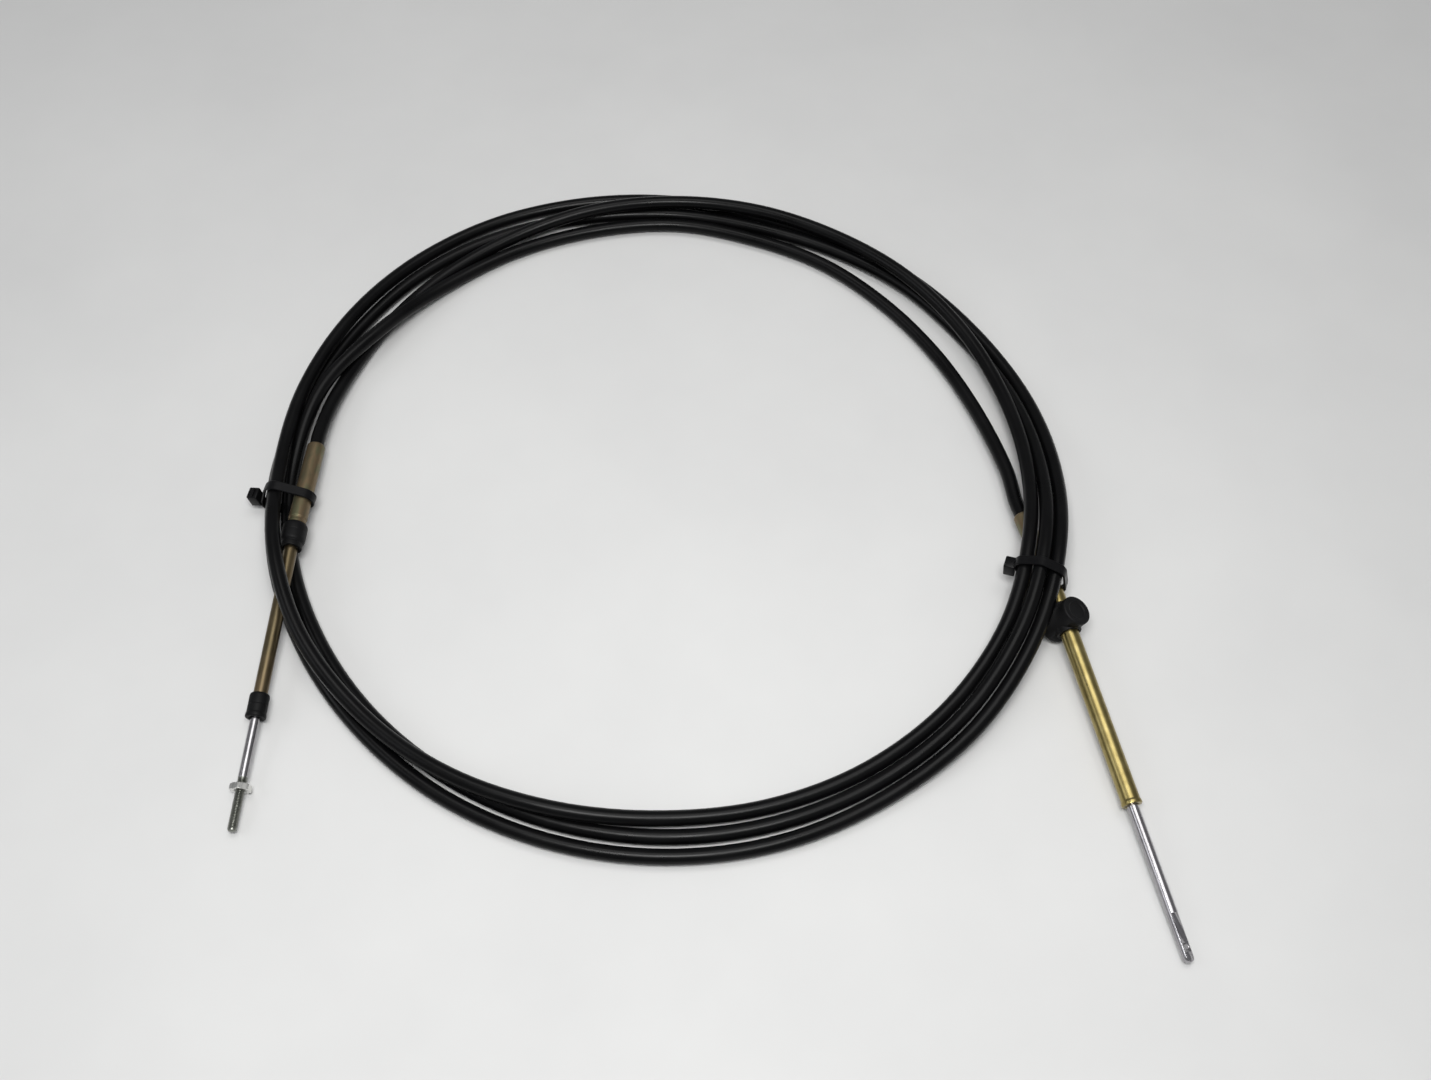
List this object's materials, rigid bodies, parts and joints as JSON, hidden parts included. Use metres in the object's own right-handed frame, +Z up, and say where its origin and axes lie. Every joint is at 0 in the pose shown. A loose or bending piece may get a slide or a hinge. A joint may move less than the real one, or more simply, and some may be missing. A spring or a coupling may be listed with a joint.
{
  "type": "boat control cable",
  "caption": "Push-pull control cable for a boat, tied in a loose coil, with a threaded rod at one end and a trunnion, brass tube and eye rod at the other.",
  "frame": {"origin": "on the floor that the tied coil lies on, under the middle of the bounding box", "axes": "+Z up from the floor; -Y towards the two end fittings, as they lie side by side; +X towards the end with the brass tube"},
  "size_m": [0.4774, 0.4888, 0.0328],
  "materials": {
    "jacket": "semi-gloss",
    "boot": "matte",
    "nylon": "satin",
    "hub": "yellow chromated zinc, satin",
    "brass": "drawn, satin",
    "steel": "bright"
  },
  "bodies": {
    "casing": {"cable_jacket": "jacket", "control_hub": "hub", "control_boot": "boot", "control_sleeve": "hub", "control_seal": "boot", "engine_hub": "hub", "engine_tube": "brass", "trunnion": "nylon", "cable_tie_control": "nylon", "cable_tie_engine": "nylon"},
    "control_core": {"control_rod": "steel", "control_nut": "steel"},
    "engine_core": {"engine_rod": "steel"}
  },
  "joints": [
    {"name": "control_rod_slide", "type": "slide", "parent": "casing", "child": "control_core", "axis": [-0.0452, -0.9963, -0.0733], "range_m": [-0.034, 0.042]},
    {"name": "engine_rod_slide", "type": "slide", "parent": "casing", "child": "engine_core", "axis": [0.2085, -0.9762, -0.0601], "range_m": [-0.042, 0.034]}
  ],
  "couplings": [
    {"joint": "control_rod_slide", "follows": "engine_rod_slide", "ratio": -1}
  ]
}
